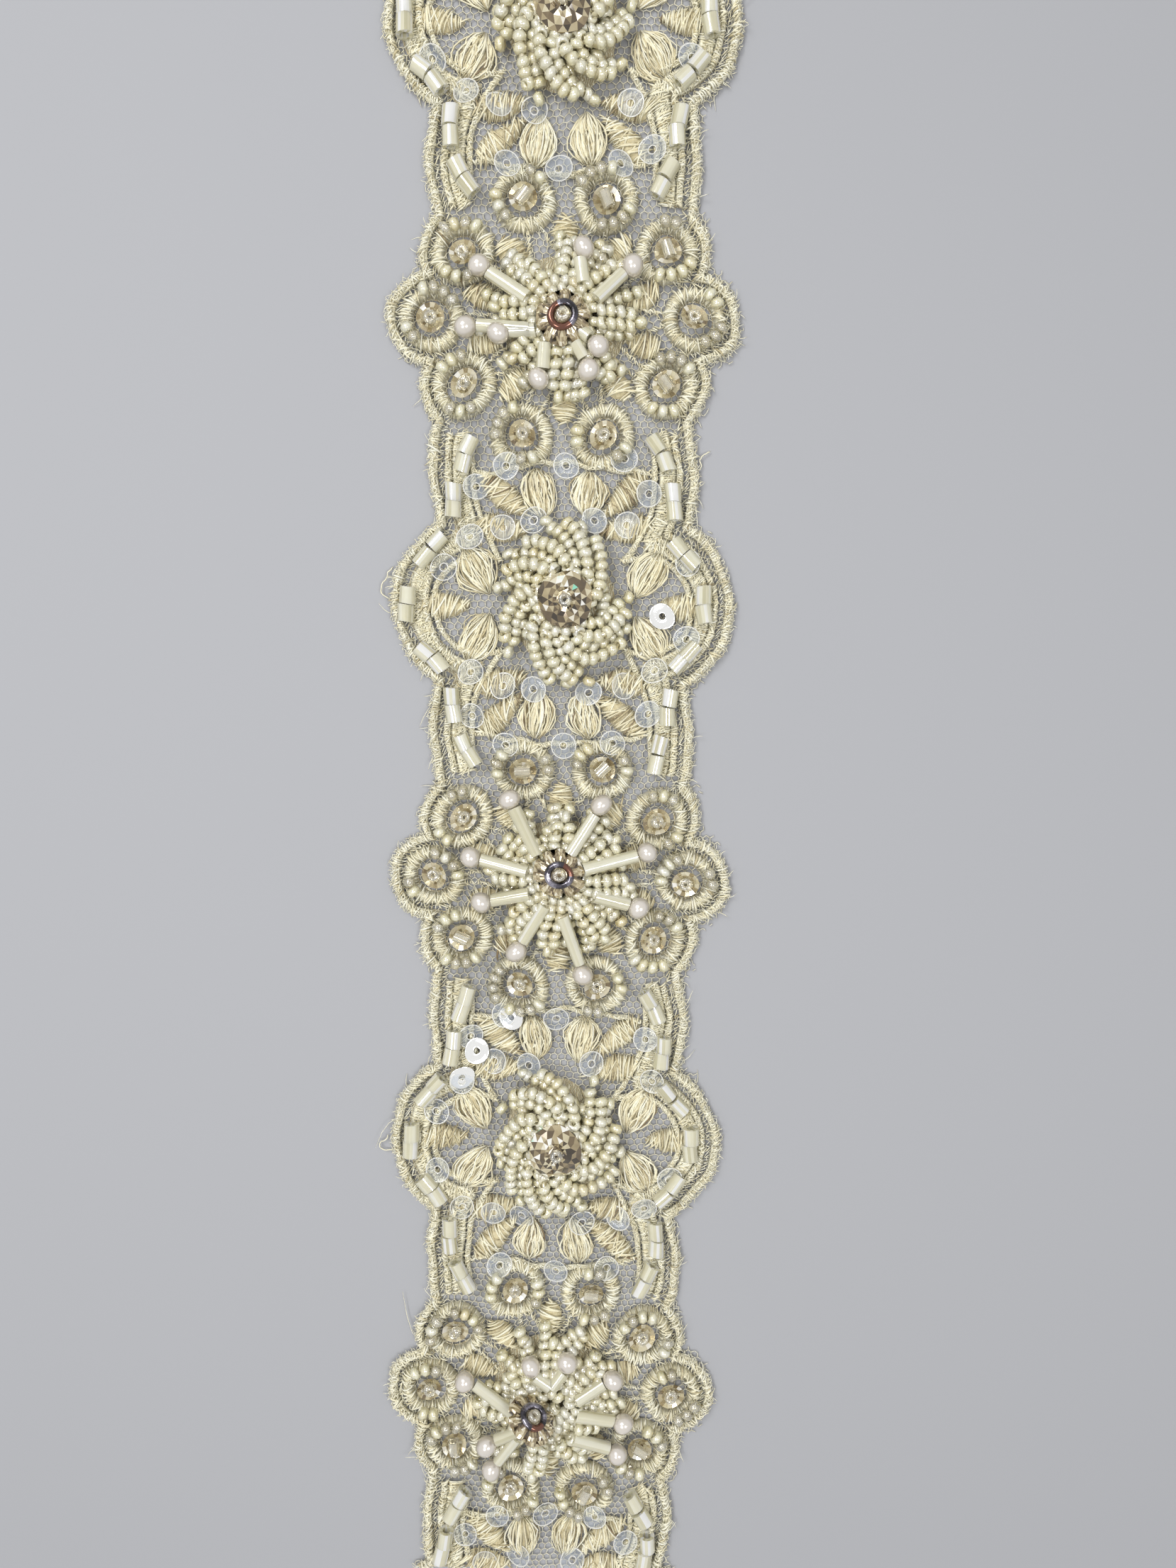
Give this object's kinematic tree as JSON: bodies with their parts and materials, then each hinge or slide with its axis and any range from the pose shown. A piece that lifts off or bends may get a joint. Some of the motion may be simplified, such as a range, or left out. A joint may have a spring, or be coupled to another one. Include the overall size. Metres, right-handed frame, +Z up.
{
  "type": "beaded sequin lace trim",
  "caption": "Scalloped net lace trim with corded edges, satin leaves and rings, seed-bead swirls, bugle beads, pearls, clear sequins and faceted crystals.",
  "frame": {"origin": "middle of the footprint on the table", "axes": "+Y along the trim, +X to its right, +Z up from its face"},
  "size_m": [0.053, 0.265, 0.0111],
  "materials": {
    "net": "fine hexagonal tulle",
    "thread": "satin-stitched cream thread",
    "seed_beads": "glossy, pale cream lined",
    "bugles": "glossy, silk-lined",
    "pearls": "pearl lustre",
    "sequins": "clear, faintly iridescent",
    "crystal": "foiled, smoke brown, faceted"
  },
  "bodies": {
    "root": {"net_ground": "net", "edge_cord_left": "thread", "edge_cord_right": "thread", "leaf_wreath_1": "thread", "bugle_border_1_left": "bugles", "bugle_border_1_right": "bugles", "leaf_wreath_2": "thread", "bugle_border_2_left": "bugles", "bugle_border_2_right": "bugles", "leaf_wreath_3": "thread", "bugle_border_3_left": "bugles", "bugle_border_3_right": "bugles", "leaf_wreath_4": "thread", "bugle_border_4_left": "bugles", "bugle_border_4_right": "bugles", "bead_rosette_1": "seed_beads", "crystal_star_1": "crystal", "bead_rosette_2": "seed_beads", "crystal_star_2": "crystal", "bead_rosette_3": "seed_beads", "crystal_star_3": "crystal", "ring_wreath_1": "thread", "bead_flower_1": "seed_beads", "crystal_flower_1": "crystal", "pearl_1_1": "pearls", "pearl_1_2": "pearls", "pearl_1_3": "pearls", "pearl_1_4": "pearls", "pearl_1_5": "pearls", "pearl_1_6": "pearls", "pearl_1_7": "pearls", "pearl_1_8": "pearls", "ring_wreath_2": "thread", "bead_flower_2": "seed_beads", "crystal_flower_2": "crystal", "pearl_2_1": "pearls", "pearl_2_2": "pearls", "pearl_2_3": "pearls", "pearl_2_4": "pearls", "pearl_2_5": "pearls", "pearl_2_6": "pearls", "pearl_2_7": "pearls", "pearl_2_8": "pearls", "ring_wreath_3": "thread", "bead_flower_3": "seed_beads", "crystal_flower_3": "crystal", "pearl_3_1": "pearls", "pearl_3_2": "pearls", "pearl_3_3": "pearls", "pearl_3_4": "pearls", "pearl_3_5": "pearls", "pearl_3_6": "pearls", "pearl_3_7": "pearls", "pearl_3_8": "pearls"}
  },
  "joints": []
}
